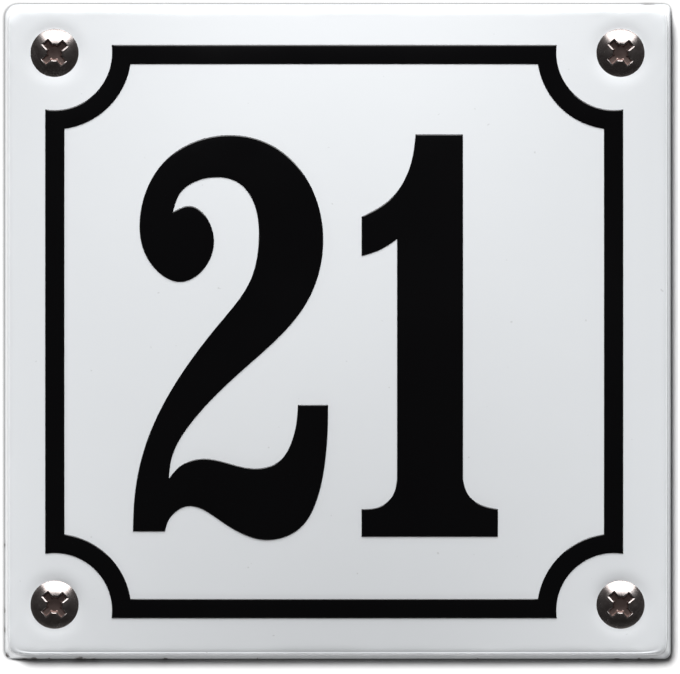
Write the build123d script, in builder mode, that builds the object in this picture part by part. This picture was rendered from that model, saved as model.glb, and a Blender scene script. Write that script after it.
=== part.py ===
# House number plaque: a pressed steel plate in white vitreous enamel, with a border line and
# the number 21 fired on in black, held to the wall by four cross-recessed screws.
# Millimetres. The origin is the centre of the screw pattern on the wall, +Z is up and the
# face looks along -Y, so the screws run into the wall along +Y.

import os
from build123d import *

# Pressed plate
plate_width = 100.0
plate_height = 98.3
plate_drop = 0.4  # the plate's centre lies this far below the screw pattern's centre
rim_depth = 5.0  # from the wall to the edge of the domed face
dome_height = 4.0  # from the edge of the face to its middle
wall = 1.3  # steel and its enamel on both sides
rim_draft = 10.0  # degrees that the rim leans out towards the wall
edge_radius = 1.0  # rolled edge between the face and the rim
corner_radius = 2.2  # upright corners of the rim, at the wall
inside_radius = 0.3  # the tightest curve that the sheet takes inside a bend

# Screw holes, each in a shallow pressed dish
hole_inset_x = 7.7  # from the plate's side edge
hole_inset_z = 7.9  # from the plate's top or bottom edge, before the drop
hole_diameter = 4.2
dish_depth = 0.22
dish_flank_radius = 3.5  # the flat floor of the dish curves up to the face
dish_margin = 0.2  # flat floor left showing round the screw head

# Black enamel
coat = 0.15  # thickness of the black enamel over the white
line_width = 2.9
border_inset_x = 6.8  # from the plate's side edge to the line's outer edge
border_inset_z = 6.3
stencil_shift = -0.5  # the stencilled border sits a little to the left
scoop_radius = 8.6  # concave corner of the line's outer edge, struck from beside a screw
scoop_offset_x = -0.5  # from the screw to the middle of that curve, outwards
scoop_offset_z = 0.45
margin_above = 9.9  # white between the figures and the line, above and below
margin_beside = 13.0  # the least white between the number and the line, left and right
digit_gap = 5.0
number_shift_x = -3.3  # the number's middle, from the plate's
number_shift_z = -0.6

# Screws
head_diameter = 7.2
head_height = 1.65
head_edge = 0.35  # straight side under the dome of the head
recess_span = 4.1  # across the wings of the cross recess
recess_wing = 1.0  # width of a wing at the top
recess_pocket = 1.9  # across the round pocket where the wings meet
recess_depth = 1.2
recess_taper = 12.0  # degrees, each side
recess_turn = 41.0  # degrees from upright
thread_diameter = 3.5
root_diameter = 2.5  # bare shank between the head and the thread
thread_start = 3.0  # the thread begins this far in front of the wall
screw_length = 30.0  # from under the head to the tip
point_length = 5.0
point_diameter = 0.6

# Levels are distances in front of the wall
hole_spacing_x = plate_width - 2 * hole_inset_x
hole_spacing_z = plate_height - 2 * hole_inset_z
fall_x = 1 - (hole_spacing_x / plate_width) ** 2
fall_z = 1 - (hole_spacing_z / plate_height) ** 2
seat_level = rim_depth + dome_height * fall_x * fall_z - dish_depth
clear_level = rim_depth + 3 * dome_height  # in front of everything on the face
press_level = 1.05 * (rim_depth + dome_height)  # just in front of the dome
overhang = 1.2  # the dome's surface runs past the plate, as a share of its half size

plate_plane = Plane(origin=(0, 0, -plate_drop), x_dir=(1, 0, 0), z_dir=(0, -1, 0))


def dome_face(level):
    """Pillow-shaped surface that stands at this level along the plate's edges. Each way across
    the plate it is a parabola, so a patch of three by three control points gives it exactly."""
    ends = 1 - overhang**2
    middle = 1 + overhang**2
    across = ((-1, ends), (0, middle), (1, ends))
    rows = []
    for side_x, share_x in across:
        row = []
        for side_z, share_z in across:
            x = side_x * overhang * plate_width / 2
            z = side_z * overhang * plate_height / 2 - plate_drop
            row.append((x, -level - dome_height * share_x * share_z, z))
        rows.append(row)
    return Face.make_bezier_surface(rows)


def pillow(inset):
    """Solid form of the plate, or of the hollow behind it where inset is the wall."""
    width = plate_width - 2 * inset
    height = plate_height - 2 * inset
    roll = max(edge_radius - inset, inside_radius)
    with BuildPart() as form:
        with BuildSketch(plate_plane):
            RectangleRounded(width, height, corner_radius)
        extrude(amount=press_level, taper=rim_draft)
        split(bisect_by=dome_face(rim_depth - inset), keep=Keep.BOTTOM)
        front = form.faces().sort_by(Axis.Y)[0]
        fillet(front.edges(), roll)
    return form.part


# Dish: a flat floor for the screw head, with a flank that curves up and out through the face.
# It stands on its floor here, and is set into the plate at each hole.
dish_floor_radius = head_diameter / 2 + dish_margin
with BuildPart() as dish:
    with BuildSketch(Plane.XZ):
        with BuildLine():
            floor = Line((0, 0), (dish_floor_radius, 0))
            flank = CenterArc((dish_floor_radius, dish_flank_radius), dish_flank_radius, -90, 60)
            Polyline(flank @ 1, ((flank @ 1).X, clear_level), (0, clear_level), (0, 0))
        make_face()
    revolve(axis=Axis.Z)

# Hollow back of the plate, with a boss behind each dish so that the sheet keeps its thickness
with BuildPart() as hollow:
    add(pillow(wall))
    with Locations(Plane.XZ.offset(seat_level - wall)):
        with GridLocations(hole_spacing_x, hole_spacing_z, 2, 2):
            add(dish.part, mode=Mode.SUBTRACT)

# Pressed and enamelled plate
with BuildPart() as enamel_plate:
    add(pillow(0))
    add(hollow.part, mode=Mode.SUBTRACT)
    with Locations(Plane.XZ.offset(seat_level)):
        with GridLocations(hole_spacing_x, hole_spacing_z, 2, 2):
            add(dish.part, mode=Mode.SUBTRACT)
    with BuildSketch(Plane.XZ):
        with GridLocations(hole_spacing_x, hole_spacing_z, 2, 2):
            Circle(hole_diameter / 2)
    extrude(amount=clear_level, mode=Mode.SUBTRACT)

# Coat of black enamel over the whole face, which each black field is cut from
with BuildPart() as black_coat:
    with BuildSketch(plate_plane):
        Rectangle(plate_width, plate_height)
    extrude(amount=clear_level)
    split(bisect_by=dome_face(rim_depth + coat), keep=Keep.BOTTOM)
    split(bisect_by=dome_face(rim_depth), keep=Keep.TOP)

# Border line, with concave corners round the screws
border_width = plate_width - 2 * border_inset_x
border_height = plate_height - 2 * border_inset_z
with BuildPart() as border_line:
    with BuildSketch(plate_plane.shift_origin(plate_plane.from_local_coords((stencil_shift, 0)))):
        Rectangle(border_width, border_height)
        with GridLocations(hole_spacing_x + 2 * scoop_offset_x, hole_spacing_z + 2 * scoop_offset_z, 2, 2):
            Circle(scoop_radius, mode=Mode.SUBTRACT)
        offset(amount=-line_width, kind=Kind.INTERSECTION, mode=Mode.SUBTRACT)
    extrude(amount=clear_level)
    add(black_coat.part, mode=Mode.INTERSECT)

# Figures, as tall as the border and its margins allow. Their outlines are drawn from the bottom
# left in units, a hundred to the height.
units_high = 100
two_units = 48.5
one_units = 33.9
height_room = border_height - 2 * (line_width + margin_above)
width_room = border_width - 2 * (line_width + margin_beside) - digit_gap
unit = min(height_room / units_high, width_room / (two_units + one_units))
number_width = (two_units + one_units) * unit + digit_gap
number_foot = number_shift_z - units_high * unit / 2
two_left = number_shift_x - number_width / 2
one_left = two_left + two_units * unit + digit_gap


def figure_points(left, *units):
    """Points of a figure's outline on the plate, from its own units."""
    points = []
    for across, up in units:
        points.append((left + across * unit, number_foot + up * unit))
    return points


# Old-style 2 with a ball at the start of its bow and a swelling foot
with BuildPart() as digit_two:
    with BuildSketch(plate_plane):
        with BuildLine():
            foot = Spline(
                figure_points(two_left, (8, 1.3), (8.8, 3.9), (13.2, 7.5), (21.7, 4), (34.2, -0.8)),
                figure_points(two_left, (41.7, 2.3), (45.6, 8.8), (47.8, 18.8), (48.5, 29.3), (48.5, 32.8)),
            )
            tail = Line(foot @ 1, *figure_points(two_left, (41, 32.8)))
            under = Spline(
                tail @ 1,
                figure_points(two_left, (40.7, 28.8), (39.5, 23.8), (36.5, 18.9), (30.5, 17)),
                figure_points(two_left, (17, 19.4), (11.7, 17.5), (9, 14.5)),
            )
            back = Spline(
                under @ 1,
                figure_points(two_left, (9.5, 18.8), (14.9, 28.8), (30, 43.8), (43.5, 58.7), (47.3, 72.7)),
                figure_points(two_left, (43.3, 88.7), (35, 97), (23.7, 99.8), (8.3, 93.7), (1.7, 78.5)),
                figure_points(two_left, (3.9, 68.7), (11.8, 63.3), (20.2, 73.7), (13.8, 82.2), (10, 80.7)),
            )
            bow = Spline(
                back @ 1,
                figure_points(two_left, (11.7, 85.2), (20.8, 89.3), (26.4, 87.8), (29.7, 83.7)),
                figure_points(two_left, (31.3, 74.2), (29.2, 63.7), (22.2, 53.8), (11, 38.8)),
                figure_points(two_left, (3.5, 23.8), (0.3, 8.8), (0, 1.3)),
            )
            Line(bow @ 1, foot @ 0)
        make_face()
    extrude(amount=clear_level)
    add(black_coat.part, mode=Mode.INTERSECT)

# Stout 1 with a curved flag and bracketed slab serifs
with BuildPart() as digit_one:
    with BuildSketch(plate_plane):
        with BuildLine():
            slab = Polyline(figure_points(one_left, (0, 6.9), (0, 0), (33.9, 0), (33.9, 6.9)))
            bracket = Spline(slab @ 1, figure_points(one_left, (29.6, 8), (26.4, 10.6), (25.2, 14.3)))
            stem = Polyline(bracket @ 1, figure_points(one_left, (25.2, 100), (13.4, 100)))
            flag = Spline(stem @ 1, figure_points(one_left, (12.5, 93.7), (6.9, 83.7), (0, 79.5)))
            flag_end = Line(flag @ 1, *figure_points(one_left, (0, 69.7)))
            under_flag = Spline(flag_end @ 1, figure_points(one_left, (4.7, 71.3), (8.8, 73.9)))
            stem_left = Line(under_flag @ 1, *figure_points(one_left, (8.8, 14.3)))
            Spline(stem_left @ 1, figure_points(one_left, (7.9, 10.6), (4.7, 7.6)), slab @ 0)
        make_face()
    extrude(amount=clear_level)
    add(black_coat.part, mode=Mode.INTERSECT)

# One screw, standing on its tip with the seat of its head at zero
crown_rise = head_height - head_edge
crown_radius = ((head_diameter / 2) ** 2 + crown_rise**2) / (2 * crown_rise)
with BuildPart() as screw:
    with BuildSketch(Plane.XZ):
        with BuildLine():
            side = Polyline(
                (0, -screw_length),
                (point_diameter / 2, -screw_length),
                (thread_diameter / 2, point_length - screw_length),
                (thread_diameter / 2, thread_start - seat_level),
                (root_diameter / 2, thread_start - seat_level),
                (root_diameter / 2, 0),
                (head_diameter / 2, 0),
                (head_diameter / 2, head_edge),
            )
            crown = RadiusArc(side @ 1, (0, head_height), -crown_radius)
            Line(crown @ 1, side @ 0)
        make_face()
    revolve(axis=Axis.Z)
    with BuildSketch(Plane.XY.offset(head_height)):
        Rectangle(recess_span, recess_wing, rotation=recess_turn)
        Rectangle(recess_wing, recess_span, rotation=recess_turn)
        Circle(recess_pocket / 2)
    extrude(amount=-recess_depth, taper=recess_taper, mode=Mode.SUBTRACT)

with BuildPart() as fixing_screws:
    with Locations(Plane.XZ.offset(seat_level)):
        with GridLocations(hole_spacing_x, hole_spacing_z, 2, 2):
            add(screw.part)

pieces = {
    "enamel_plate": enamel_plate,
    "border_line": border_line,
    "digit_two": digit_two,
    "digit_one": digit_one,
    "fixing_screws": fixing_screws,
}
os.makedirs("parts", exist_ok=True)
for name, piece in pieces.items():
    piece.part.label = name
    export_step(piece.part, f"parts/{name}.step")
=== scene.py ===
# %% [markdown]
# # A house number plaque in enamelled steel
# The real plaque is a sheet of steel, pressed to a soft pillow shape, dipped in white glass enamel and
# fired. A border line and the number are fired on in black, and four screws hold it to a wall. The CAD
# model gives the outer sizes. This lesson dresses it: each piece is a surface worked out with numpy, and
# each finish is a small tree of shader nodes.

import bpy
import numpy as np
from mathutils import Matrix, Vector
from mathutils.geometry import delaunay_2d_cdt


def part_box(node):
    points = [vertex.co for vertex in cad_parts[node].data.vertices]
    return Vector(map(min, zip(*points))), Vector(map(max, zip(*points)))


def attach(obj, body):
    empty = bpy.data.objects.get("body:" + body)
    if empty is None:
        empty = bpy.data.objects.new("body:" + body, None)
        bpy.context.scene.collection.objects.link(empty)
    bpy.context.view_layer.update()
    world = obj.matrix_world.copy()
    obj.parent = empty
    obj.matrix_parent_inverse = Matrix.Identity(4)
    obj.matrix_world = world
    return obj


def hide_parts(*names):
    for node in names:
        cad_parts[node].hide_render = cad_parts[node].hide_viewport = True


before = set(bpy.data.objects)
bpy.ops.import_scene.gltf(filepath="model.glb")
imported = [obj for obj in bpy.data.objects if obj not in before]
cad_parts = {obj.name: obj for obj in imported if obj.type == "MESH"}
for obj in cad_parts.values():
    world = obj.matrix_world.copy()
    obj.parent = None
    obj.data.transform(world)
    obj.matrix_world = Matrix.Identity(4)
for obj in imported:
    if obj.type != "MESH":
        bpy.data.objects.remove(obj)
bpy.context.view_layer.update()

# %% [markdown]
# ## Sizes
# The plaque stands upright: +Z is up, the face looks along -Y and the wall is the plane y = 0. The lesson
# works in millimetres. It calls the distance in front of the wall the level, and measures across the plate
# from the plate's own middle. The outer sizes could be typed in again, but reading them from the CAD boxes
# keeps the dressing on the frame.

# %% Sizes of the plate and its screws
MM = 0.001
plate_low, plate_high = (np.array(corner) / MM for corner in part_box("enamel_plate"))
screw_low, screw_high = (np.array(corner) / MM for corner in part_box("fixing_screws"))
half_width = (plate_high[0] - plate_low[0]) / 2
half_height = (plate_high[2] - plate_low[2]) / 2
middle_z = (plate_high[2] + plate_low[2]) / 2
rim_level = 5.0
dome_height = -plate_low[1] - rim_level
sheet = 1.3
head_radius = 3.6
screw_x = screw_high[0] - head_radius
screw_z = np.array([screw_low[2] + head_radius, screw_high[2] - head_radius]) - middle_z
print(f"plate {2 * half_width:.1f} x {2 * half_height:.1f} mm, dome {dome_height:.1f} mm,")
print(f"screws at x = +-{screw_x:.2f} and z = {screw_z.round(2)} mm from the plate's middle")

# %% [markdown]
# ## From arrays to a mesh
# Every piece below ends as an array of points and a list of faces. One helper turns both into a
# smooth-shaded mesh. Its object stays at the origin, and the place is in the points, as it is in the CAD
# nodes.


# %% Helper that makes a piece
def make_piece(name, points, faces, sharp_degrees=40):
    """A mesh object from points (x, level, z) in millimetres about the plate's middle and lists of corner
    numbers. A point lands at x, minus its level, and z plus the middle's height, in metres."""
    place = np.column_stack([points[:, 0], -points[:, 1], points[:, 2] + middle_z]) * MM
    mesh = bpy.data.meshes.new(name)
    mesh.from_pydata(place.tolist(), [], faces)
    mesh.validate()
    mesh.shade_smooth()
    mesh.set_sharp_from_angle(angle=np.radians(sharp_degrees))
    piece = bpy.data.objects.new(name, mesh)
    bpy.context.scene.collection.objects.link(piece)
    print(f"{name}: {len(mesh.vertices)} points, {len(mesh.polygons)} faces")
    return piece


# %% [markdown]
# ## The form of the face
# Pressed plates bulge like a pillow: highest in the middle, level with the rim along all four edges. A
# product of two parabolas gives just that. Round each screw the press has sunk a shallow dish: a flat floor
# under the head, a short flank at the head's edge, and a soft slope that runs out into the pillow. The
# dishes could be pressed into the finished mesh, but as a part of the level they need no step of their own.

# %% Level of the face
hole_radius = 2.1
dish_floor = 2.85
dish_lip = head_radius + 0.02
dish_edge = 5.6
dish_depth = 0.22
lip_depth = 0.17


def smooth_step(value):
    """Zero below 0, one above 1, and an S-shaped curve of the third power between."""
    value = np.clip(value, 0, 1)
    return value * value * (3 - 2 * value)


def pillow_level(x, z):
    """Level of the pressed face: the rim plus the dome height times (1 - x squared) times (1 - z squared),
    with x and z as shares of half the plate."""
    return rim_level + dome_height * (1 - (x / half_width) ** 2) * (1 - (z / half_height) ** 2)


seat_level = pillow_level(screw_x, np.mean(np.abs(screw_z))) - dish_depth


def face_level(x, z):
    """Level of the face with its dishes. A dish lies below the pillow by a depth that grows along a
    parabola from its edge to the lip beside the head. Inside the lip a straight flank goes on to the flat
    floor."""
    near_z = np.where(z > 0, screw_z[1], screw_z[0])
    reach = np.hypot(np.abs(x) - screw_x, z - near_z)
    way_out = np.clip((reach - dish_lip) / (dish_edge - dish_lip), 0, 1)
    slope = pillow_level(x, z) - lip_depth * (1 - way_out) ** 2
    flank = np.clip((reach - dish_floor) / (dish_lip - dish_floor), 0, 1)
    return seat_level + (slope - seat_level) * flank


print(f"screw heads seat {seat_level:.2f} mm in front of the wall")

# %% [markdown]
# The plate's face and a screw's head are both square grids in which some rings become circles, and both go
# on from the grid's edge in rings. So they share four helpers.


# %% Helpers for grids and rings
def ring_angle(across, up):
    """Angle of a grid point on the circle that its square ring becomes. Along each side of the square the
    angle grows evenly, from 45 degrees before the side's middle to 45 degrees after it."""
    size = np.maximum(np.abs(across), np.abs(up))
    on_side = np.abs(across) >= np.abs(up)
    slant = np.where(on_side, up * np.sign(across), across * np.sign(up))
    turn = slant / np.where(size > 0, size, 1) * np.pi / 4
    right_left = np.where(across > 0, turn, np.pi + turn)
    top_bottom = np.where(up > 0, np.pi / 2 - turn, -np.pi / 2 - turn)
    return np.where(on_side, right_left, top_bottom)


def edge_numbers(number):
    """Point numbers along the four sides of a grid, once round."""
    return np.concatenate([number[:-1, 0], number[-1, :-1], number[:0:-1, -1], number[0, :0:-1]])


def grid_faces(number):
    """Quads of a grid of point numbers, one to each cell."""
    return np.stack([number[:-1, :-1], number[1:, :-1], number[1:, 1:], number[:-1, 1:]], axis=-1)


def strip_faces(rows):
    """Quads between closed rows of point numbers, one row to the next."""
    ahead = np.roll(rows, -1, axis=1)
    return np.stack([rows[:-1], rows[1:], ahead[1:], ahead[:-1]], axis=-1).reshape(-1, 4)


# %% [markdown]
# ## The pressed plate
# The face could be a plain grid, but a plain grid can't have round holes. So the grid is denser in a block
# about each screw, and there its square rings are drawn into circles: the ring half way out becomes the
# hole's edge and the outermost ring stays square, to meet the rest of the grid. The faces inside the hole
# are left out.

# %% Grid of the face, with round holes
block = 32
middle_steps = 84
hole_ring = 0.5
roll_width = 2.4
face_half_x = half_width - roll_width
face_half_z = half_height - roll_width
block_steps = np.linspace(-1, 1, block + 1)
ring_across, ring_up = np.meshgrid(block_steps, block_steps, indexing="ij")
ring = np.maximum(np.abs(ring_across), np.abs(ring_up))


def grid_lines(low_hole, high_hole, half):
    """Positions of the grid's lines one way: a dense block about each hole, out to the edge, and wider
    steps between the two blocks."""
    low_end = 2 * low_hole + half
    high_end = 2 * high_hole - half
    return np.concatenate(
        [
            np.linspace(-half, low_end, block + 1)[:-1],
            np.linspace(low_end, high_end, middle_steps + 1)[:-1],
            np.linspace(high_end, half, block + 1),
        ]
    )


def block_points(hole_x, hole_z):
    """Points of the block about one hole: rings up to the hole's own are the hole's circle, and beyond it
    each ring is a blend of that circle and the block's square."""
    angle = ring_angle(ring_across, ring_up)
    square_share = np.clip((ring - hole_ring) / (1 - hole_ring), 0, 1)
    ring_safe = np.where(ring > 0, ring, 1)
    circle_x = hole_radius * np.cos(angle)
    circle_z = hole_radius * np.sin(angle)
    side_x = (face_half_x - abs(hole_x)) * ring_across / ring_safe
    side_z = (face_half_z - abs(hole_z)) * ring_up / ring_safe
    x = hole_x + circle_x + (side_x - circle_x) * square_share
    return x, hole_z + circle_z + (side_z - circle_z) * square_share


lines_x = grid_lines(-screw_x, screw_x, face_half_x)
lines_z = grid_lines(*screw_z, face_half_z)
square_x, square_z = np.meshgrid(lines_x, lines_z, indexing="ij")
block_ends = (slice(0, block + 1), slice(-block - 1, None))
for x_part, hole_x in zip(block_ends, (-screw_x, screw_x)):
    for z_part, hole_z in zip(block_ends, screw_z):
        square_x[x_part, z_part], square_z[x_part, z_part] = block_points(hole_x, hole_z)
print(f"face grid {square_x.shape[0]} x {square_x.shape[1]} lines, four holes of {2 * hole_radius:.1f} mm")

# %% [markdown]
# The face's own corners are soft as well. A square turns into a quarter of a disc when each coordinate
# shrinks with the square of the other one, and the two inner sides of that square stay where they are.

# %% Soft corners of the face
soft_corner = 3.6


def soften(x, z):
    """Points of the face with round corners: in the last few millimetres before both edges, each coordinate
    is multiplied by the root of one minus half the other's square."""
    start_x, start_z = face_half_x - soft_corner, face_half_z - soft_corner
    past_x = np.clip((np.abs(x) - start_x) / soft_corner, 0, None)
    past_z = np.clip((np.abs(z) - start_z) / soft_corner, 0, None)
    round_x = np.sign(x) * (start_x + soft_corner * past_x * np.sqrt(1 - past_z**2 / 2))
    round_z = np.sign(z) * (start_z + soft_corner * past_z * np.sqrt(1 - past_x**2 / 2))
    in_corner = past_x * past_z > 0
    return np.where(in_corner, round_x, x), np.where(in_corner, round_z, z)


grid_x, grid_z = soften(square_x, square_z)
print(f"corners of the face softened over {soft_corner:.1f} mm")

# %% [markdown]
# ## The rolled rim
# Beyond the face the sheet rolls over and runs back to the wall. This is a profile carried along a path:
# the path is the plate's outline, and the profile is a quarter of a rounded square, flat at first and tight
# at the end, followed by a wall that leans out a little, so that the plate came off its press. The corners
# of a pressed plate are never quite alike, so each has its own radius, as the photo shows.

# %% Outline of the plate
corner_radius = {(-1, 1): 2.0, (1, 1): 1.0, (1, -1): 1.1, (-1, -1): 1.2}
number = np.arange(grid_x.size).reshape(grid_x.shape)
edge_loop = edge_numbers(number)
edge_x = grid_x.ravel()[edge_loop]
edge_z = grid_z.ravel()[edge_loop]


def rounded_outline(x, z):
    """Outline points of the plate for points on the edge of the face: the edge is stretched to the full
    size, and near a corner the distance left along the side becomes an angle on that corner's arc, 45
    degrees at the corner itself."""
    side_x = np.where(x > 0, 1, -1)
    side_z = np.where(z > 0, 1, -1)
    out_x = x / face_half_x * half_width
    out_z = z / face_half_z * half_height
    on_side = np.abs(np.abs(x) - face_half_x) < 1e-6
    left = np.where(on_side, half_height - np.abs(out_z), half_width - np.abs(out_x))
    radius = np.zeros_like(x)
    for (corner_x, corner_z), size in corner_radius.items():
        radius = np.where((side_x == corner_x) & (side_z == corner_z), size, radius)
    bend = np.clip(1 - left / radius, 0, 1) * np.pi / 4
    along = np.where(on_side, np.sin(bend), np.cos(bend))
    across = np.where(on_side, np.cos(bend), np.sin(bend))
    arc_x = side_x * (half_width - radius + radius * across)
    arc_z = side_z * (half_height - radius + radius * along)
    return np.where(bend > 0, arc_x, out_x), np.where(bend > 0, arc_z, out_z)


outline_x, outline_z = rounded_outline(square_x.ravel()[edge_loop], square_z.ravel()[edge_loop])
print(f"outline of {len(edge_loop)} points, {np.ptp(outline_x):.2f} x {np.ptp(outline_z):.2f} mm")

# %% [markdown]
# Dipping leaves a slight wave in the glass along the roll. After its dip the plate hung to drain, so the
# wet enamel also gathered in a fine bead along the bottom edge, which catches the light. Both are heights
# added to the profile's level.

# %% Profile of the rim, carried round the outline
roll_drop = 1.1
roll_power = 3.4
lean = np.tan(np.radians(10))
wave_height = 0.05
bead_height = 0.16
bead_start, bead_end = 0.68, 0.84
bottom_from = 0.97
roll_steps = np.linspace(0, np.pi / 2, 33)[1:]
wall_steps = np.array([0.25, 0.5, 0.75, 1.0])
run = np.arange(len(edge_loop)) / len(edge_loop) * 2 * np.pi
wave = 0.5 * np.sin(13 * run + 1.0) + 0.3 * np.sin(29 * run + 2.0) + 0.2 * np.sin(61 * run)


def rolled_rim():
    """Rings of points from the face's edge to the wall. On the roll the way out goes as a power of the sine
    of an angle and the drop as one minus the same power of its cosine, with the wave on top. Along the
    bottom a bead rises on an S curve just before the bend. The roll ends where the leaning wall begins, and
    from there the way out and the level run evenly to the outline at the wall."""
    way = np.sin(roll_steps)[:, None] ** (2 / roll_power)
    bend_share = 1 - lean * (rim_level - roll_drop) / roll_width
    bend_x = edge_x + (outline_x - edge_x) * bend_share
    bend_z = edge_z + (outline_z - edge_z) * bend_share
    x = edge_x + (bend_x - edge_x) * way
    z = edge_z + (bend_z - edge_z) * way
    fall = 1 - np.clip(np.cos(roll_steps), 0, 1)[:, None] ** (2 / roll_power)
    unevenness = wave_height * np.sin(2 * roll_steps)[:, None] * wave
    at_bottom = smooth_step((-edge_z / face_half_z - bottom_from) / (1 - bottom_from))
    bead = bead_height * smooth_step((way - bead_start) / (bead_end - bead_start)) * at_bottom
    level = face_level(x, z) - roll_drop * fall + unevenness + bead
    run_out = wall_steps[:, None]
    x = np.vstack([x, bend_x + (outline_x - bend_x) * run_out])
    z = np.vstack([z, bend_z + (outline_z - bend_z) * run_out])
    level = np.vstack([level, level[-1] * (1 - run_out)])
    return np.column_stack([x.ravel(), level.ravel(), z.ravel()])


rim_points = rolled_rim()
face_points = np.column_stack([grid_x.ravel(), face_level(grid_x, grid_z).ravel(), grid_z.ravel()])
print(f"rim of {len(roll_steps) + len(wall_steps)} rings")

# %% [markdown]
# Grid and rings now become one skin. A Solidify modifier gives it the sheet's thickness to the inside, and
# puts the second finish on the back and on the edge at the wall.

# %% Faces and thickness of the plate
cells = grid_faces(number)
cell_ring = grid_faces(ring).mean(axis=-1)
in_hole = np.zeros(cells.shape[:2], bool)
for x_part in (slice(0, block), slice(-block, None)):
    for z_part in (slice(0, block), slice(-block, None)):
        in_hole[x_part, z_part] = cell_ring < hole_ring
rim_numbers = len(face_points) + np.arange(len(rim_points)).reshape(-1, len(edge_loop))
plate_faces = np.vstack([cells[~in_hole], strip_faces(np.vstack([edge_loop, rim_numbers]))])
plate_points = np.vstack([face_points, rim_points])
used = np.unique(plate_faces)
renumber = np.zeros(len(plate_points), int)
renumber[used] = np.arange(len(used))
plate = make_piece("pressed_plate", plate_points[used], renumber[plate_faces].tolist())
thickness = plate.modifiers.new("sheet", "SOLIDIFY")
thickness.thickness = sheet * MM
thickness.offset = -1
thickness.material_offset = 1
thickness.material_offset_rim = 1

# %% [markdown]
# ## Fields of black enamel
# The border and the figures were brushed through a stencil and fired, so each is a thin glassy layer that
# ends in a rounded edge. A curve object could be filled and bent to the dome, but its long thin triangles
# would cut through the curved face. Here the edge is a rounded profile carried along the outline, in rings,
# and the inside is filled with small triangles over an even lattice of points. The level of every point
# comes from the same pillow as the plate.

# %% Rounded edge of a field
coat = 0.15
coat_edge = 0.22
edge_steps = np.linspace(0, np.pi / 2, 6)


def inward(outline):
    """Steps to the inside of a closed anticlockwise outline, one unit long and longer at corners, so that
    both sides keep their distance: the sum of the two edge normals over one plus their dot product."""
    edge = np.roll(outline, -1, axis=0) - outline
    normal = np.column_stack([-edge[:, 1], edge[:, 0]]) / np.linalg.norm(edge, axis=1, keepdims=True)
    before = np.roll(normal, 1, axis=0)
    return (normal + before) / (1 + np.sum(normal * before, axis=1, keepdims=True)).clip(0.35)


def edge_rings(outline):
    """Points (x, z, height) of a rounded edge, in rings from the outline inwards: the way in goes as one
    minus the cosine of an angle and the height as its sine."""
    way = coat_edge * (1 - np.cos(edge_steps))
    flat = outline + inward(outline) * way[:, None, None]
    height = np.broadcast_to((coat * np.sin(edge_steps))[:, None], flat.shape[:2])
    return np.concatenate([flat, height[..., None]], axis=-1)


print(f"black enamel {coat} mm thick, with an edge {coat_edge} mm wide")

# %% Filling of a field
edge_gap = 0.4


def within(points, starts, ends):
    """Whether each point lies inside closed outlines given as edges: a line from it to the right crosses an
    odd number of edges."""
    point_x, point_z = points[:, :1], points[:, 1:]
    spans = (starts[:, 1] > point_z) != (ends[:, 1] > point_z)
    rise = np.where(ends[:, 1] == starts[:, 1], 1, ends[:, 1] - starts[:, 1])
    cross = starts[:, 0] + (point_z - starts[:, 1]) / rise * (ends[:, 0] - starts[:, 0])
    return np.sum(spans & (point_x < cross), axis=1) % 2 == 1


def lattice_inside(low, high, starts, ends, spacing):
    """Points of an even lattice between two corners that lie inside outlines and not close to their
    points."""
    lines = [np.arange(start, stop, spacing) for start, stop in zip(low, high)]
    spots = np.stack(np.meshgrid(*lines), axis=-1).reshape(-1, 2)
    gap = np.min(np.linalg.norm(spots[:, None] - starts[None], axis=-1), axis=1)
    return spots[(gap > spacing * edge_gap) & within(spots, starts, ends)]


def triangle_net(starts, ends, following, spots):
    """Triangles over the points of outlines and a lattice, as even as they can be, with the outlines' edges
    among their sides. Those outside the outlines are dropped."""
    fixed_edges = np.column_stack([np.arange(len(starts)), following]).tolist()
    net = delaunay_2d_cdt(np.vstack([starts, spots]).tolist(), fixed_edges, [], 0, 1e-6)
    corners = np.array([corner[:] for corner in net[0]])
    triangles = np.array(net[2])
    inside = within(corners[triangles].mean(axis=1), starts, ends)
    return np.array([origin[0] for origin in net[3]])[triangles[inside]]


def enamel_layer(name, *outlines, spacing=1.6):
    """A black field from its outlines, the outer one anticlockwise and a hole clockwise: a rounded edge
    along each, a net of triangles between them, and every point raised by the pillow's level."""
    rings = [edge_rings(outline) for outline in outlines]
    counts = [ring[..., 0].size for ring in rings]
    firsts = np.cumsum([0, *counts])
    rows = [
        first + np.arange(count).reshape(ring.shape[:2]) for first, count, ring in zip(firsts, counts, rings)
    ]
    starts = np.vstack([ring[-1, :, :2] for ring in rings])
    ends = np.vstack([np.roll(ring[-1, :, :2], -1, axis=0) for ring in rings])
    spots = lattice_inside(outlines[0].min(axis=0), outlines[0].max(axis=0), starts, ends, spacing)
    inner = np.concatenate([row[-1] for row in rows])
    following = np.searchsorted(inner, np.concatenate([np.roll(row[-1], -1) for row in rows]))
    numbers = np.concatenate([inner, firsts[-1] + np.arange(len(spots))])
    edge_quads = np.vstack([strip_faces(row)[:, ::-1] for row in rows])
    faces = edge_quads.tolist() + numbers[triangle_net(starts, ends, following, spots)].tolist()
    top = np.column_stack([spots, np.full(len(spots), coat)])
    x, z, height = np.vstack([*(ring.reshape(-1, 3) for ring in rings), top]).T
    return make_piece(name, np.column_stack([x, pillow_level(x, z) + height, z]), faces, sharp_degrees=60)


print(f"lattice points stay {edge_gap} of their spacing away from an outline")

# %% [markdown]
# ## Border line
# The line's outer edge is a rectangle with a round bite out of each corner, struck from beside the screw.
# The inner edge keeps the line's width everywhere, so its bites are as much larger. Both edges come from
# one function.

# %% Border line
border_half = np.array([43.2, 42.85])
border_middle = np.array([-0.5, 0.0])
bite_middle = np.array([41.8, 41.7])
bite_radius = 8.6
bite_points = 32
line_width = 2.9


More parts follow.
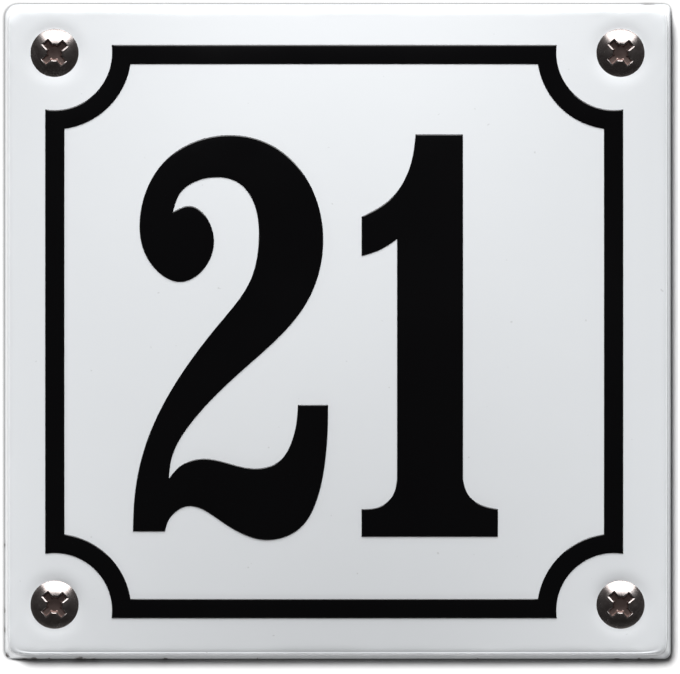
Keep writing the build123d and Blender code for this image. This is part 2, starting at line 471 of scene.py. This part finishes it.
def bitten_rectangle(half, radius, spacing=0.8):
    """Anticlockwise outline of a rectangle whose corners are bitten out by circles: four arcs joined by
    four sides. An arc starts where the circle crosses one side and ends where it crosses the next."""
    pieces = []
    for sign_x, sign_z in ((1, -1), (1, 1), (-1, 1), (-1, -1)):
        centre = bite_middle * (sign_x, sign_z)
        gap_x, gap_z = half - bite_middle
        on_side = np.arctan2(-sign_z * np.sqrt(radius**2 - gap_x**2), sign_x * gap_x)
        on_top = np.arctan2(sign_z * gap_z, -sign_x * np.sqrt(radius**2 - gap_z**2))
        first, last = (on_top, on_side) if sign_x * sign_z < 0 else (on_side, on_top)
        sweep = (last - first + np.pi) % (2 * np.pi) - np.pi
        angles = first + np.linspace(0, 1, bite_points) * sweep
        pieces.append(centre + radius * np.column_stack([np.cos(angles), np.sin(angles)]))
    joined = []
    for arc, following in zip(pieces, pieces[1:] + pieces[:1]):
        count = int(np.linalg.norm(following[0] - arc[-1]) / spacing)
        side = arc[-1] + np.linspace(0, 1, count)[1:-1, None] * (following[0] - arc[-1])
        joined += [arc, side]
    return border_middle + np.vstack(joined)


outer_edge = bitten_rectangle(border_half, bite_radius)
inner_edge = bitten_rectangle(border_half - line_width, bite_radius + line_width)
border = enamel_layer("border_enamel", outer_edge, inner_edge[::-1])

# %% [markdown]
# ## The figures
# The outlines are drawn as a sign writer would: a few points through which a smooth curve runs, with
# straight lines between. A font could give such figures, but not with these old-fashioned forms. The points
# are in hundredths of the figure's height, from its bottom left corner.

# %% Smooth outline through a few points
unit = 0.601
figure_foot = -30.65


def smooth_curve(points, spacing=0.35):
    """Points along a natural cubic spline through the given ones, spaced by chord length. The second
    derivatives come from one linear system, with none at the two ends."""
    points = np.array(points, float)
    knots = np.concatenate([[0], np.cumsum(np.linalg.norm(np.diff(points, axis=0), axis=1))])
    gap = np.diff(knots)
    count = len(points)
    matrix = np.eye(count)
    inside = np.arange(1, count - 1)
    matrix[inside, inside - 1] = gap[:-1]
    matrix[inside, inside] = 2 * (gap[:-1] + gap[1:])
    matrix[inside, inside + 1] = gap[1:]
    slope = np.diff(points, axis=0) / gap[:, None]
    bend = np.linalg.solve(matrix, np.vstack([[[0, 0]], 6 * np.diff(slope, axis=0), [[0, 0]]]))
    place = np.linspace(0, knots[-1], max(int(knots[-1] * unit / spacing), 2))
    span = np.clip(np.searchsorted(knots, place, side="right") - 1, 0, count - 2)
    after = (place - knots[span])[:, None]
    before = (knots[span + 1] - place)[:, None]
    width = gap[span][:, None]
    curve = (bend[span] * before**3 + bend[span + 1] * after**3) / (6 * width)
    line = (points[span] / width - bend[span] * width / 6) * before
    return curve + line + (points[span + 1] / width - bend[span + 1] * width / 6) * after


def figure_outline(left, *curves):
    """Anticlockwise outline on the plate from a figure's curves, each a list of points that starts where
    the last ended. Two points make a straight line."""
    parts = [smooth_curve(curve)[:-1] for curve in curves]
    outline = np.vstack(parts) * unit + (left, figure_foot)
    x, z = outline.T
    area = np.sum(x * np.roll(z, -1) - np.roll(x, -1) * z) / 2
    return outline if area > 0 else outline[::-1]


print(f"figures {100 * unit:.1f} mm high")

# %% Figure 2
two_left = -30.56
two_foot = [
    (8, 1.3), (8.8, 3.9), (13.2, 7.5), (21.7, 4), (34.2, -0.8), (41.7, 2.3), (45.6, 8.8), (47.8, 18.8),
    (48.5, 29.3), (48.5, 32.8),
]
two_under = [
    (41, 32.8), (40.7, 28.8), (39.5, 23.8), (36.5, 18.9), (30.5, 17), (17, 19.4), (11.7, 17.5), (9, 14.5),
]
two_back = [
    (9, 14.5), (9.5, 18.8), (14.9, 28.8), (30, 43.8), (43.5, 58.7), (47.3, 72.7), (43.3, 88.7), (35, 97),
    (23.7, 99.8), (8.3, 93.7), (1.7, 78.5), (3.9, 68.7), (11.8, 63.3), (20.2, 73.7), (13.8, 82.2), (10, 80.7),
]
two_bow = [
    (10, 80.7), (11.7, 85.2), (20.8, 89.3), (26.4, 87.8), (29.7, 83.7), (31.3, 74.2), (29.2, 63.7),
    (22.2, 53.8), (11, 38.8), (3.5, 23.8), (0.3, 8.8), (0, 1.3),
]
two_outline = figure_outline(
    two_left, two_foot, [(48.5, 32.8), (41, 32.8)], two_under, two_back, two_bow, [(0, 1.3), (8, 1.3)]
)
figure_two = enamel_layer("figure_two", two_outline)

# %% Figure 1
one_left = 3.587
one_outline = figure_outline(
    one_left,
    [(0, 6.9), (0, 0)],
    [(0, 0), (33.9, 0)],
    [(33.9, 0), (33.9, 6.9)],
    [(33.9, 6.9), (29.6, 8), (26.4, 10.6), (25.2, 14.3)],
    [(25.2, 14.3), (25.2, 100)],
    [(25.2, 100), (13.4, 100)],
    [(13.4, 100), (12.5, 93.7), (6.9, 83.7), (0, 79.5)],
    [(0, 79.5), (0, 69.7)],
    [(0, 69.7), (4.7, 71.3), (8.8, 73.9)],
    [(8.8, 73.9), (8.8, 14.3)],
    [(8.8, 14.3), (7.9, 10.6), (4.7, 7.6), (0, 6.9)],
)
figure_one = enamel_layer("figure_one", one_outline)

# %% [markdown]
# ## The screws
# A screw is round about its axis, so most of it is a profile carried along a circle. Two parts aren't round:
# the cross recess in the head and the thread. The recess could be cut out with a Boolean modifier, which
# leaves ragged faces. Here the head is a square grid drawn out to a disc, whose lines run along the recess,
# so the wings keep straight walls, and the recess is a depth taken off the crown. Screwdrivers have worn its
# edges round.

# %% Depth of the cross recess
recess_half_span = 2.05
recess_half_width = 0.5
pocket_radius = 1.15
recess_depth = 1.2
recess_slope = np.tan(np.radians(78))
floor_rise = 0.5
wear_width = 0.19
wear_drop = 0.12


def recess_drop(x, z):
    """Depth of the cross recess at a point of the head: how far the point lies inside the cross or the
    round pocket in its middle, times the steepness of the walls, but no deeper than a floor shaped as a
    shallow bowl. Just outside the walls the edge is worn down along an S curve."""
    wing_x = np.minimum(recess_half_span - np.abs(x), recess_half_width - np.abs(z))
    wing_z = np.minimum(recess_half_width - np.abs(x), recess_half_span - np.abs(z))
    inside = np.maximum(np.maximum(wing_x, wing_z), pocket_radius - np.hypot(x, z))
    floor = recess_depth * (1 - floor_rise * np.clip(np.hypot(x, z) / recess_half_span, 0, 1) ** 2)
    worn = wear_drop * smooth_step((inside + wear_width) / wear_width)
    return np.minimum(worn + np.clip(inside, 0, None) * recess_slope, floor)


print(f"cross recess {2 * recess_half_span:.1f} mm across and {recess_depth:.1f} mm deep")

# %% Top of a screw head
crown_top = 1.65
crown_edge = 0.35
crown_radius = (head_radius**2 + (crown_top - crown_edge) ** 2) / (2 * (crown_top - crown_edge))
recess_turn = np.radians(41)
line_stops = (0, 0.44, 0.8, 1.96, 2.34)
line_counts = (7, 13, 15, 11)
outer_lines = 10


def head_lines():
    """Positions of the grid's lines: between the stops as many as their counts, closest together where a
    wall of the recess runs, and past the last stop evenly over one unit more."""
    spans = zip(line_stops, line_stops[1:], line_counts)
    near = [np.linspace(start, end, count, endpoint=False) for start, end, count in spans]
    lines = np.concatenate([*near, line_stops[-1] + np.linspace(0, 1, outer_lines + 1)])
    return np.concatenate([-lines[:0:-1], lines])


def head_top():
    """Points of the head's top, and how far each is sunk. Up to the last stop the grid is square, and
    beyond it each ring is a blend of that square and the head's circle. The level is a ball's, less the
    recess, and all of it is turned as the screws were left."""
    across, up = np.meshgrid(head_lines(), head_lines(), indexing="ij")
    square = line_stops[-1]
    ring_size = np.maximum(np.abs(across), np.abs(up))
    out = np.clip(ring_size - square, 0, 1)
    shrink = np.where(out > 0, square / np.where(ring_size > 0, ring_size, 1), 1)
    angle = ring_angle(across, up)
    x = across * shrink + (head_radius * np.cos(angle) - across * shrink) * out
    z = up * shrink + (head_radius * np.sin(angle) - up * shrink) * out
    ball = np.sqrt(crown_radius**2 - np.minimum(np.hypot(x, z), head_radius) ** 2)
    sunk = recess_drop(x, z)
    turned_x = x * np.cos(recess_turn) - z * np.sin(recess_turn)
    turned_z = x * np.sin(recess_turn) + z * np.cos(recess_turn)
    return np.stack([turned_x, crown_top - crown_radius + ball - sunk, turned_z], axis=-1), sunk


head, sunk = head_top()
print(f"screw head grid {head.shape[0]} x {head.shape[1]}, recess {sunk.max():.2f} mm deep")

# %% [markdown]
# Below the crown the profile goes down the side of the head, in under it, along the bare shank and then
# along the thread to the point. The head's top ends in a ring of points, and the rings of its collar use
# the same angles, so the two surfaces share that ring and no gap is left. The shank needs fewer points
# round it than the head, so it takes every eighth angle, and flat polygons under the head join the two.

# %% Rings of the shank and the thread
thinning = 8
thread_radius = 1.75
root_radius = 1.25
pitch = 1.8
ridge_half = 0.26
rings_per_turn = 10
thread_start = 3.0
screw_length = 30.0
point_length = 5.0
blunt_share = 0.1
head_numbers = np.arange(sunk.size).reshape(sunk.shape)
head_loop = edge_numbers(head_numbers)
loop_x, _, loop_z = head.reshape(-1, 3)[head_loop].T
loop_angle = np.arctan2(loop_z, loop_x)


def ring_points(radius, level, angle):
    """Points of rings about the screw's axis, one row to a ring, from the radius and the level at each
    angle."""
    radius, level, angle = np.broadcast_arrays(radius, level, angle)
    return np.stack([radius * np.cos(angle), level, radius * np.sin(angle)], axis=-1)


def shank_rings():
    """Rings down the shank and the thread. The radius is the root plus a ridge, a triangle over part of
    each pitch, whose place along the screw climbs one pitch a turn. Both shrink towards the point."""
    angle = loop_angle[::thinning]
    thread_from = thread_start - seat_level
    threaded = np.arange(thread_from, -screw_length, -pitch / rings_per_turn)
    level = np.concatenate([[0.0, -0.6, thread_from + 0.2], threaded])[:, None]
    taper = np.clip((level + screw_length) / point_length, blunt_share, 1)
    turns = level / pitch + angle / (2 * np.pi)
    ridge = np.clip(1 - np.abs(turns % 1 - 0.5) / ridge_half, 0, 1)
    ridge = ridge * smooth_step((thread_from - level) / pitch)
    return ring_points((root_radius + (thread_radius - root_radius) * ridge) * taper, level, angle)


shank = shank_rings()
print(f"shank of {len(shank)} rings with {shank.shape[1]} points each")

# %% One screw
collar_profile = np.array(
    [[head_radius, 0.3], [head_radius - 0.04, 0.25], [dish_floor, 0], [hole_radius - 0.1, 0]]
)
collar = ring_points(collar_profile[:, :1], collar_profile[:, 1:], loop_angle)
point = [[0, -screw_length, 0]]
one_screw = np.vstack([head.reshape(-1, 3), collar.reshape(-1, 3), shank.reshape(-1, 3), point])
collar_rows = head_numbers.size + np.arange(collar[..., 0].size).reshape(collar.shape[:2])
collar_rows = np.vstack([head_loop, collar_rows])
shank_rows = collar_rows.max() + 1 + np.arange(shank[..., 0].size).reshape(shank.shape[:2])
head_quads = grid_faces(head_numbers).reshape(-1, 4)
quads = np.vstack([head_quads, strip_faces(collar_rows), strip_faces(shank_rows)])
arcs = np.arange(0, len(head_loop), thinning)[:, None] + np.arange(thinning, -1, -1)
under_head = collar_rows[-1][arcs % len(head_loop)]
under_faces = np.column_stack([shank_rows[0], np.roll(shank_rows[0], -1), under_head])
last_ring = shank_rows[-1]
to_point = np.full(len(last_ring), len(one_screw) - 1)
point_faces = np.column_stack([last_ring, to_point, np.roll(last_ring, -1)])
print(f"one screw: {len(one_screw)} points, {len(collar) + len(shank)} rings below the crown")

# %% Four screws in one piece
screw_spots = np.array([(x, seat_level, z) for x in (-screw_x, screw_x) for z in screw_z])
screw_points = (screw_spots[:, None] + one_screw).reshape(-1, 3)
first_numbers = (np.arange(len(screw_spots)) * len(one_screw))[:, None, None]
screw_faces = []
for kind in (quads, under_faces, point_faces):
    screw_faces += (first_numbers + kind).reshape(-1, kind.shape[1]).tolist()
screws = make_piece("cross_recess_screws", screw_points, screw_faces, sharp_degrees=35)
sunk_share = np.zeros(len(one_screw), np.float32)
sunk_share[: sunk.size] = sunk.ravel() / recess_depth
sunk_layer = screws.data.attributes.new("recess_depth", "FLOAT", "POINT")
sunk_layer.data.foreach_set("value", np.tile(sunk_share, len(screw_spots)))

# %% [markdown]
# ## Finishes
# Each finish is a small node tree. A helper adds a node, sets its sockets and wires it, so that a tree
# reads from top to bottom as a recipe.


# %% Helper for node trees
class Finish:
    """A material under construction: add() places a node and returns it, and links go in as sockets."""

    def __init__(self, name):
        self.material = bpy.data.materials.new(name)
        self.material.use_nodes = True
        self.tree = self.material.node_tree
        self.shader = self.tree.nodes["Principled BSDF"]
        self.out = self.tree.nodes["Material Output"]
        self.place = self.add("ShaderNodeTexCoord").outputs["Object"]

    def add(self, kind, settings=None, **sockets):
        """A node of this kind. Settings are its properties; sockets are its inputs, by name or number, as
        values or as other nodes' outputs."""
        node = self.tree.nodes.new(kind)
        for key, value in (settings or {}).items():
            setattr(node, key, value)
        self.feed(node, sockets)
        return node

    def feed(self, node, sockets):
        """Puts values and links into a node's inputs. A name's underscores stand for spaces, and in_0 is
        input 0."""
        for key, value in sockets.items():
            socket = node.inputs[int(key[3:]) if key.startswith("in_") else key.replace("_", " ")]
            if isinstance(value, bpy.types.NodeSocket):
                self.tree.links.new(value, socket)
            else:
                socket.default_value = value

    def noise(self, scale, detail=2.0, roughness=0.5):
        """Cloudy noise between 0 and 1 on the piece, with features about one over the scale in metres."""
        sockets = {"Vector": self.place, "Scale": scale, "Detail": detail, "Roughness": roughness}
        return self.add("ShaderNodeTexNoise", **sockets).outputs["Fac"]

    def between(self, value, low, high, to_low=0.0, to_high=1.0):
        """The value moved from the range low to high into the range to_low to to_high, and held there."""
        node = self.add("ShaderNodeMapRange", Value=value, in_1=low, in_2=high, in_3=to_low, in_4=to_high)
        return node.outputs["Result"]

    def math(self, operation, first, second):
        """One step of arithmetic on two values."""
        return self.add("ShaderNodeMath", {"operation": operation}, in_0=first, in_1=second).outputs["Value"]

    def vector(self, operation, **sockets):
        """A node that works on vectors."""
        return self.add("ShaderNodeVectorMath", {"operation": operation}, **sockets).outputs

    def blend(self, share, first, second):
        """A colour between two, by a share from 0 to 1."""
        node = self.add("ShaderNodeMix", {"data_type": "RGBA"}, in_0=share, in_6=first, in_7=second)
        return node.outputs[2]

    def bump(self, height, strength, depth):
        """Small relief from a height between 0 and 1, with its full depth in metres."""
        return self.add("ShaderNodeBump", Height=height, Strength=strength, Distance=depth).outputs["Normal"]


# %% [markdown]
# ## White enamel
# Fired enamel is glass: even and glossy, with a faint orange-peel ripple and a slightly cloudy white. Here
# and there a speck shows. Along the rim, mostly at the bottom, the glass has chipped off, and the dark
# ground coat shows. The chips could be cut into the mesh, but each is only a millimetre or two long, so the
# finish paints them: a list of places, each an ellipse, with noise that frays its edge.

# %% Chips in the white enamel
white = Finish("white_enamel")
chips = [  # x and z from the plate's middle, half the width and half the height
    (-46.9, -49.1, 0.5, 0.22), (-45.6, -49.05, 0.5, 0.25), (-43.2, -49.1, 0.3, 0.2),
    (-38.7, -49.0, 0.8, 0.25), (-36.6, -49.1, 0.5, 0.15), (-25.8, -49.05, 0.35, 0.22),
    (-12.0, -49.1, 0.2, 0.18), (21.0, -49.1, 0.2, 0.15), (41.9, -49.1, 0.45, 0.16),
    (45.2, -49.1, 0.5, 0.18), (47.1, -49.1, 0.4, 0.16), (-49.6, -48.7, 0.35, 0.6),
    (-49.92, -32.0, 0.12, 0.4), (-49.9, -41.8, 0.12, 0.5), (-49.9, -44.8, 0.14, 0.5),
    (46.5, 49.1, 0.9, 0.12),
]
nearest = None
for chip_x, chip_z, size_x, size_z in chips:
    middle = (chip_x * MM, 0, (chip_z + middle_z) * MM)
    centred = white.vector("SUBTRACT", in_0=white.place, in_1=middle)[0]
    scaled = white.vector("MULTIPLY", in_0=centred, in_1=(1 / (size_x * MM), 0, 1 / (size_z * MM)))[0]
    reach = white.vector("LENGTH", in_0=scaled)["Value"]
    nearest = reach if nearest is None else white.math("MINIMUM", nearest, reach)
frayed = white.math("ADD", nearest, white.between(white.noise(1400, 3), 0.3, 0.7, -0.7, 0.7))
chipped = white.between(frayed, 0.75, 1.0, 1.0, 0.0)
print(f"white enamel with {len(chips)} chips")

# %% White enamel
glass_white = white.blend(white.noise(45, 3), (0.738, 0.76, 0.782, 1), (0.766, 0.788, 0.81, 1))
specks = white.between(white.noise(1100, 1), 0.79, 0.83, 0.0, 0.25)
specked = white.blend(specks, glass_white, (0.25, 0.25, 0.24, 1))
gloss = white.between(white.noise(25, 2), 0.3, 0.7, 0.1, 0.16)
white.feed(white.shader, {
    "Base_Color": white.blend(chipped, specked, (0.035, 0.03, 0.027, 1)),
    "Roughness": white.math("ADD", gloss, white.math("MULTIPLY", chipped, 0.5)),
    "Normal": white.bump(white.noise(260, 2), 0.12, 0.00012),
})
plate.data.materials.append(white.material)
print("white enamel on the plate")

# %% [markdown]
# ## Ground coat on the back
# Behind the white the sheet carries only its first, dark coat. It is rougher and speckled, and shows
# wherever the white ends: inside the hollow and on the edge that meets the wall. It is the plate's second
# material, which the Solidify modifier gives to the faces that it adds.

# %% Ground coat
ground = Finish("ground_coat")
mottle = ground.noise(160, 4, 0.65)
dark = ground.blend(ground.between(mottle, 0.35, 0.65), (0.045, 0.05, 0.06, 1), (0.085, 0.09, 0.1, 1))
speckle = ground.between(ground.noise(1600, 2), 0.68, 0.74, 0.0, 0.5)
ground.feed(ground.shader, {
    "Base_Color": ground.blend(speckle, dark, (0.3, 0.31, 0.32, 1)),
    "Roughness": ground.between(mottle, 0.3, 0.7, 0.28, 0.45),
    "Normal": ground.bump(ground.noise(400, 3), 0.25, 0.0002),
})
plate.data.materials.append(ground.material)
print("ground coat on the back")

# %% [markdown]
# ## Black enamel
# The black is the same glass with a heavy pigment. It is nearly as dark as velvet from the front, and only
# its reflections tell that it is shiny. One material serves the border and both figures.

# %% Black enamel
black = Finish("black_enamel")
black.feed(black.shader, {
    "Base_Color": black.blend(black.noise(60, 3), (0.0007, 0.0007, 0.001, 1), (0.0014, 0.0014, 0.0018, 1)),
    "Roughness": black.between(black.noise(40, 2), 0.3, 0.7, 0.12, 0.2),
    "Normal": black.bump(black.noise(260, 2), 0.12, 0.00012),
})
for layer in (border, figure_two, figure_one):
    layer.data.materials.append(black.material)
print("black enamel on the border and both figures")

# %% [markdown]
# ## Polished screws
# The heads are polished steel that has gone a little brown. The recess is rougher, as screwdrivers leave it,
# and its colour turns a darker brown with depth. A second material there would end in a hard line, so one
# finish reads the recess depth that the mesh carries, and blends.

# %% Screw steel
steel = Finish("screw_steel")
recess = steel.add("ShaderNodeAttribute", {"attribute_name": "recess_depth"}).outputs["Fac"]
tarnish = steel.noise(900, 3)
metal = steel.blend(steel.between(tarnish, 0.35, 0.65), (0.21, 0.183, 0.176, 1), (0.27, 0.245, 0.238, 1))
polish = steel.between(tarnish, 0.3, 0.7, 0.22, 0.28)
steel.feed(steel.shader, {
    "Metallic": 0.94,
    # Deeper in the recess the colour blends towards a darker brown.
    "Base_Color": steel.blend(steel.between(recess, 0.15, 0.5, 0.0, 0.6), metal, (0.24, 0.15, 0.13, 1)),
    "Roughness": steel.math("ADD", polish, steel.between(recess, 0.15, 0.4, 0.0, 0.06)),
    "Normal": steel.bump(steel.noise(2500, 2), 0.08, 0.00004),
})
screws.data.materials.append(steel.material)
print("screw steel")

# %% [markdown]
# ## The pieces join the frame
# Each piece rides on the root body, and the CAD node that it stands for is hidden.

# %% Ride on the root and hide the CAD node
for piece, node, slot in (
    (plate, "enamel_plate", "white_enamel"),
    (border, "border_line", "black_enamel"),
    (figure_two, "digit_two", "black_enamel"),
    (figure_one, "digit_one", "black_enamel"),
    (screws, "fixing_screws", "screw_steel"),
):
    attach(piece, "root")
    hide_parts(node)
print("five pieces ride on the root body")

# %% [markdown]
# ## Wall and floor
# The plaque hangs on a pale wall, over a pale floor. Both could be boxes, but a single sheet can be clear
# from behind, so that the back of the plaque can be looked at too. The floor ends a little way in front of
# the wall, or the polished heads would mirror it.

# %% Sheets of the stage
wall_y = 0.0001
floor_z = -3.0
floor_front = -0.7
stage_half = 3.0


def stage_sheet(name, corner, first_side, second_side):
    """A flat sheet of the stage in metres, from one corner and the two sides that leave it."""
    corner, first_side, second_side = Vector(corner), Vector(first_side), Vector(second_side)
    corners = [corner, corner + first_side, corner + first_side + second_side, corner + second_side]
    mesh = bpy.data.meshes.new(name)
    mesh.from_pydata(corners, [], [(0, 1, 2, 3)])
    sheet_object = bpy.data.objects.new(name, mesh)
    bpy.context.scene.collection.objects.link(sheet_object)
    return sheet_object


stage_width = (2 * stage_half, 0, 0)
wall_height = (0, 0, stage_half - floor_z)
floor_depth = (0, stage_half - floor_front, 0)
wall = stage_sheet("wall", (-stage_half, wall_y, floor_z), stage_width, wall_height)
floor = stage_sheet("floor", (-stage_half, floor_front, floor_z), stage_width, floor_depth)
print("wall and floor")

# %% [markdown]
# Within half a millimetre of the rim an Ambient Occlusion node turns the wall's paint dark grey: a painted
# shade along the rim. To light that bounces it is darker than to the eye, because in the photo the wall
# hardly lights the rim. Seen from behind, and to the shadow rays of the lamp behind it, it is clear.

# %% Paint of the wall and the floor
plaster = Finish("wall_white")
ray = plaster.add("ShaderNodeLightPath").outputs
paint = plaster.blend(plaster.noise(3, 2), (0.63, 0.63, 0.63, 1), (0.65, 0.65, 0.65, 1))
paint = plaster.blend(ray["Is Diffuse Ray"], paint, (0.48, 0.48, 0.48, 1))
open_air = plaster.add("ShaderNodeAmbientOcclusion", {"samples": 16}, Distance=0.0006).outputs["AO"]
plaster.feed(plaster.shader, {
    "Roughness": 1.0,
    "Specular_IOR_Level": 0.0,
    # Near the rim the paint blends to dark grey: painted shade where the rim meets the wall.
    "Base_Color": plaster.blend(plaster.between(open_air, 0.6, 0.95), (0.24, 0.24, 0.24, 1), paint),
})
behind = plaster.add("ShaderNodeNewGeometry").outputs["Backfacing"]
clear_share = plaster.math("MAXIMUM", behind, ray["Is Shadow Ray"])
clear = plaster.add("ShaderNodeBsdfTransparent").outputs[0]
one_sided = plaster.add("ShaderNodeMixShader", in_0=clear_share, in_1=plaster.shader.outputs[0], in_2=clear)
plaster.tree.links.new(one_sided.outputs[0], plaster.out.inputs["Surface"])
wall.data.materials.append(plaster.material)

screed = Finish("floor_pale")
screed.feed(screed.shader, {
    "Roughness": 0.9,
    "Specular_IOR_Level": 0.1,
    "Base_Color": screed.blend(screed.noise(3, 2), (0.5, 0.5, 0.5, 1), (0.54, 0.54, 0.54, 1)),
})
floor.data.materials.append(screed.material)
print("paint on the wall and the floor")

# %% [markdown]
# ## Light
# A wide softbox hangs above the plaque, a metre in front of the wall, and shines straight down. Its light
# grazes the face, so the upper half of the pillow is brighter than the lower half, and it shows as the
# bright cap on each screw. Only the plate and its black enamel shade it, so the heads throw no shadow, as
# in the photo. A strip below and a strip on the left light the sheet alone and bring out its rim. One lamp
# could light everything, but the light that suits the face would draw a long shadow down the wall. So the
# wall has a lamp of its own, from the front and the upper left, and the plaque throws only a short shadow
# to the right and below. A lamp behind the wall lights the back. Light linking says which lamp lights what.

# %% Lamps
enamelled = (plate, border, figure_two, figure_one)


def group(name, *pieces):
    """A collection of pieces that a lamp lights, or that shade it."""
    collection = bpy.data.collections.new(name)
    for piece in pieces:
        collection.objects.link(piece)
    return collection


def lamp(name, kind, place, energy, lit, aim=(0, 0, 0), **settings):
    """A lamp at a place in metres that looks at a point and lights only one group."""
    data = bpy.data.lights.new(name, kind)
    data.energy = energy
    for key, value in settings.items():
        setattr(data, key, value)
    light = bpy.data.objects.new(name, data)
    bpy.context.scene.collection.objects.link(light)
    light.location = place
    light.rotation_euler = (Vector(aim) - Vector(place)).to_track_quat("-Z", "Y").to_euler()
    light.visible_camera = False
    light.light_linking.receiver_collection = lit
    return light


lit_plaque = group("lit_with_the_plaque", *enamelled, screws, floor)
lit_sheet = group("lit_with_the_sheet", plate)
lit_wall = group("lit_with_the_wall", wall)
overhead = {"shape": "RECTANGLE", "size": 2.3, "size_y": 1.6, "aim": (0.14, -1.08, 0)}
softbox = lamp("softbox_overhead", "AREA", (0.14, -1.08, 1.36), 84, lit_plaque, **overhead)
softbox.light_linking.blocker_collection = group("shades_the_softbox", *enamelled)
lamp("strip_below", "AREA", (0, -0.05, -1.0), 2.8, lit_sheet, shape="RECTANGLE", size=1.0, size_y=0.06)
lamp("strip_left", "AREA", (-1.0, -0.1, 0), 2.2, lit_sheet, shape="RECTANGLE", size=0.06, size_y=1.0)
lamp("wall_lamp", "SUN", (-0.33, -1.0, 0.37), 5.5, lit_wall, angle=0.24)
lamp("back_lamp", "AREA", (0.6, 0.85, 0.45), 12, lit_plaque, shape="RECTANGLE", size=0.8, size_y=0.8)
print("softbox, two strips, wall lamp and back lamp")

# %% [markdown]
# ## Room
# The room is dim, so that the polished heads have something dark to mirror. One grey could serve for every
# ray, but then the views from the side and from behind would be as dark. So to the camera, and to rays that
# have come through the wall, the room is pale.

# %% Dim room
world = bpy.data.worlds.new("room")
bpy.context.scene.world = world
world.use_nodes = True
room = world.node_tree
room_ray = room.nodes.new("ShaderNodeLightPath").outputs
pale_share = room.nodes.new("ShaderNodeMath")
pale_share.operation = "MAXIMUM"
dim_or_pale = room.nodes.new("ShaderNodeMix")
dim_or_pale.data_type = "RGBA"
dim_or_pale.inputs[6].default_value = (0.05, 0.048, 0.048, 1)
dim_or_pale.inputs[7].default_value = (0.85, 0.85, 0.85, 1)
for source, target in (
    (room_ray["Is Camera Ray"], pale_share.inputs[0]),
    (room_ray["Transparent Depth"], pale_share.inputs[1]),
    (pale_share.outputs[0], dim_or_pale.inputs[0]),
    (dim_or_pale.outputs[2], room.nodes["Background"].inputs["Color"]),
):
    room.links.new(source, target)
print("a dim room that is pale to the camera")

# %% [markdown]
# ## Camera
# The photo looks straight at the plate from far off, so a long lens is right. The picture is 680 by 674
# pixels, and the plate's middle lies a little left of and above the picture's middle.

# %% Camera
picture = np.array([680, 674])
plate_middle_pixel = np.array([337.55, 331.5])
mm_per_pixel = 0.14963
scale_level = 4.0
lens = 500.0
camera_data = bpy.data.cameras.new("camera")
camera_data.lens = lens
camera_data.sensor_width = 36.0
distance = lens * picture[0] * mm_per_pixel / camera_data.sensor_width * MM
offset = (picture / 2 - plate_middle_pixel) * mm_per_pixel
camera = bpy.data.objects.new("camera", camera_data)
camera.location = (offset[0] * MM, -distance - scale_level * MM, (middle_z - offset[1]) * MM)
camera.rotation_euler = (np.pi / 2, 0, 0)
bpy.context.scene.collection.objects.link(camera)
bpy.context.scene.camera = camera
bpy.context.scene.view_settings.view_transform = "Standard"
print(f"camera {distance:.3f} m in front of the face")
